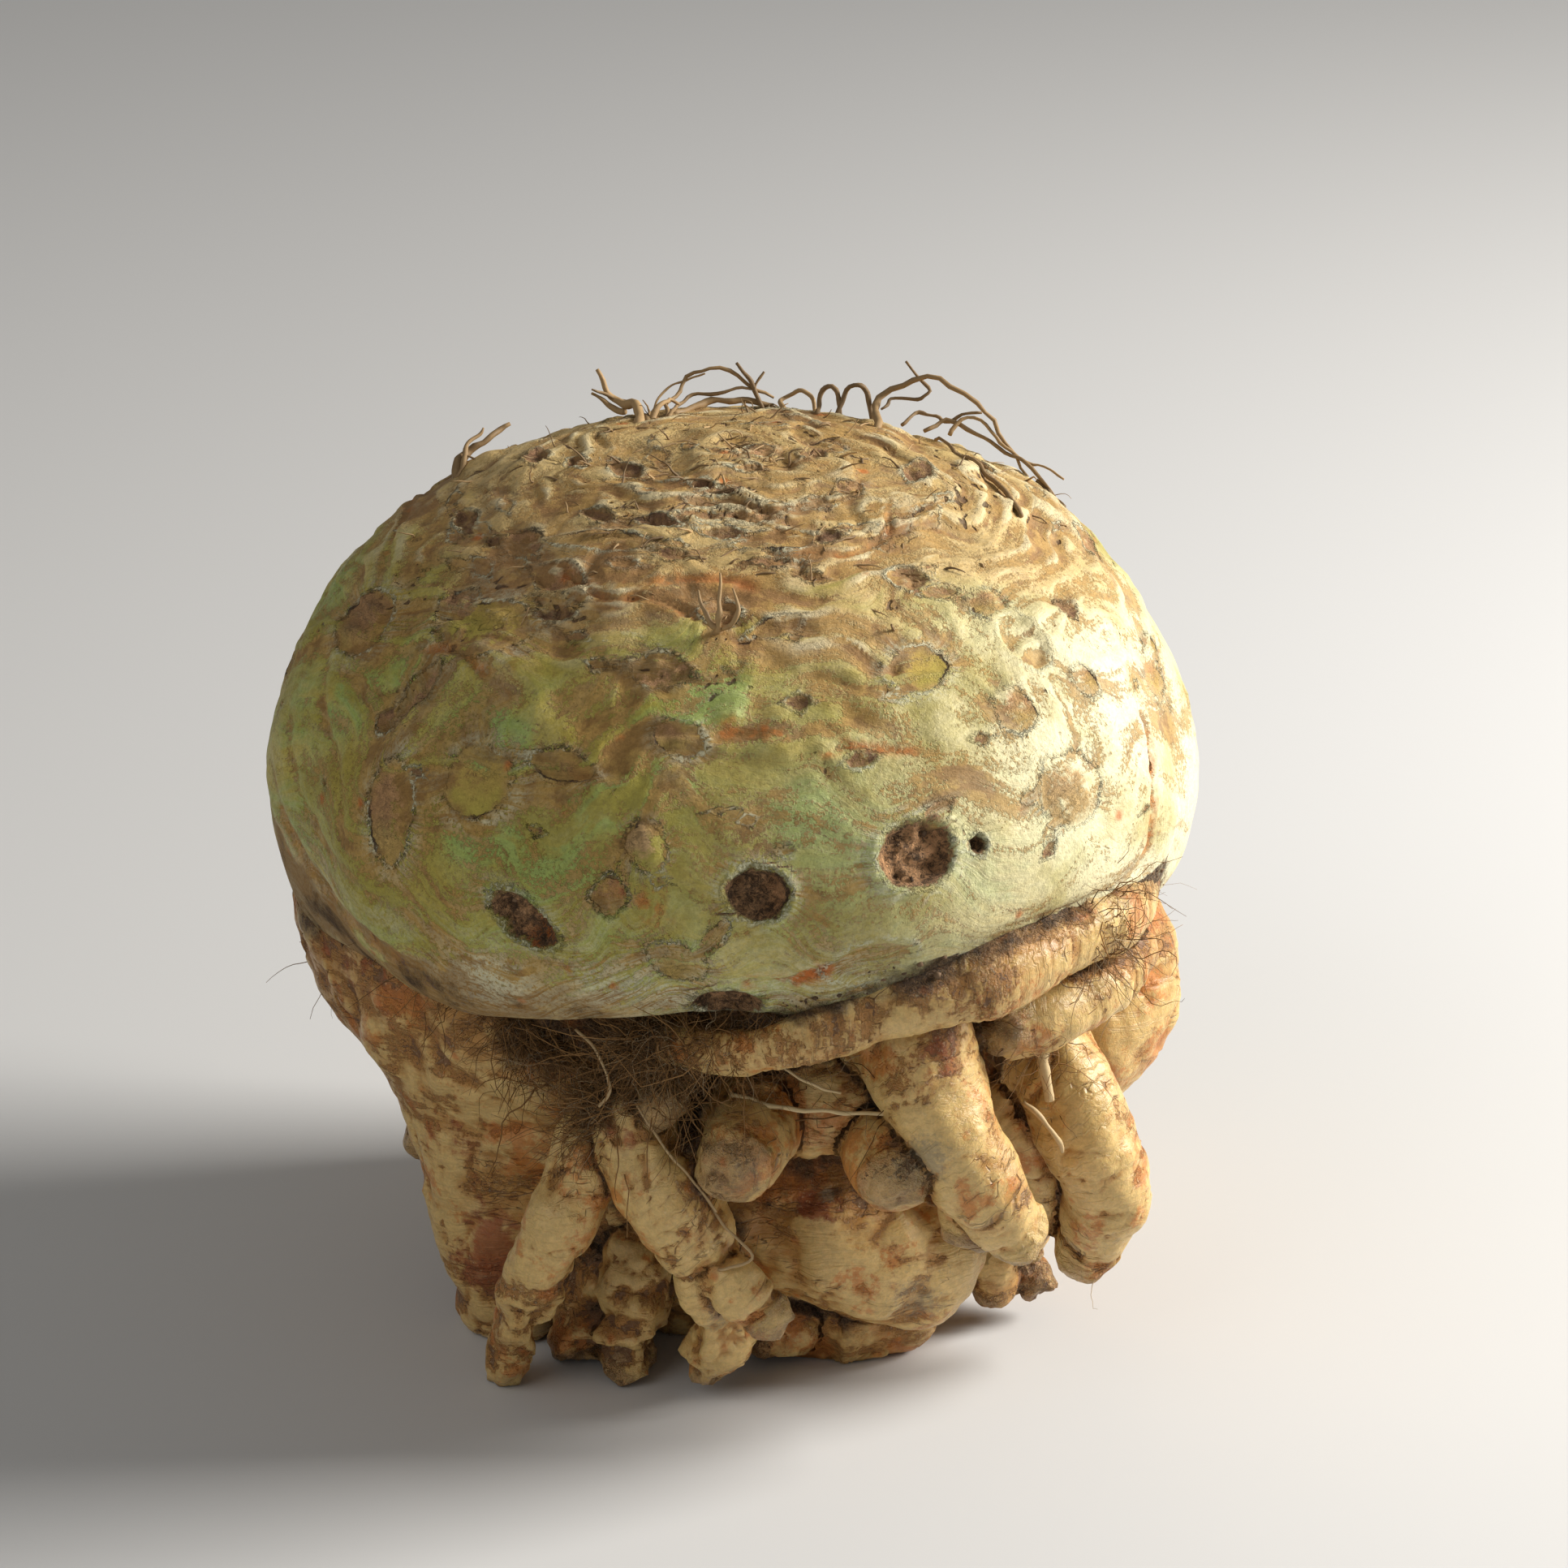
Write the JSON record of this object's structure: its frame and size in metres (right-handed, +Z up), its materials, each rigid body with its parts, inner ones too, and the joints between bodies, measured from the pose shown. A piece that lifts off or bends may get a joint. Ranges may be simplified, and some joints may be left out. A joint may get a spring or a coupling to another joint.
{
  "type": "celeriac root",
  "caption": "Swollen, flattened root bulb with leaf scars and dried crown fibres, standing on a knot of thick, blunt, twisting roots.",
  "frame": {"origin": "on the surface that the root rests on, in the middle of its flat spot, under the bulb's axis", "axes": "+Z up through the crown; -Y towards the side with the two round knobs and the belt root under the lip; +X to the right seen from that side"},
  "size_m": [0.1295, 0.1248, 0.127],
  "materials": {
    "celeriac_skin": null
  },
  "bodies": {
    "root": {"celeriac": "celeriac_skin"}
  },
  "joints": []
}
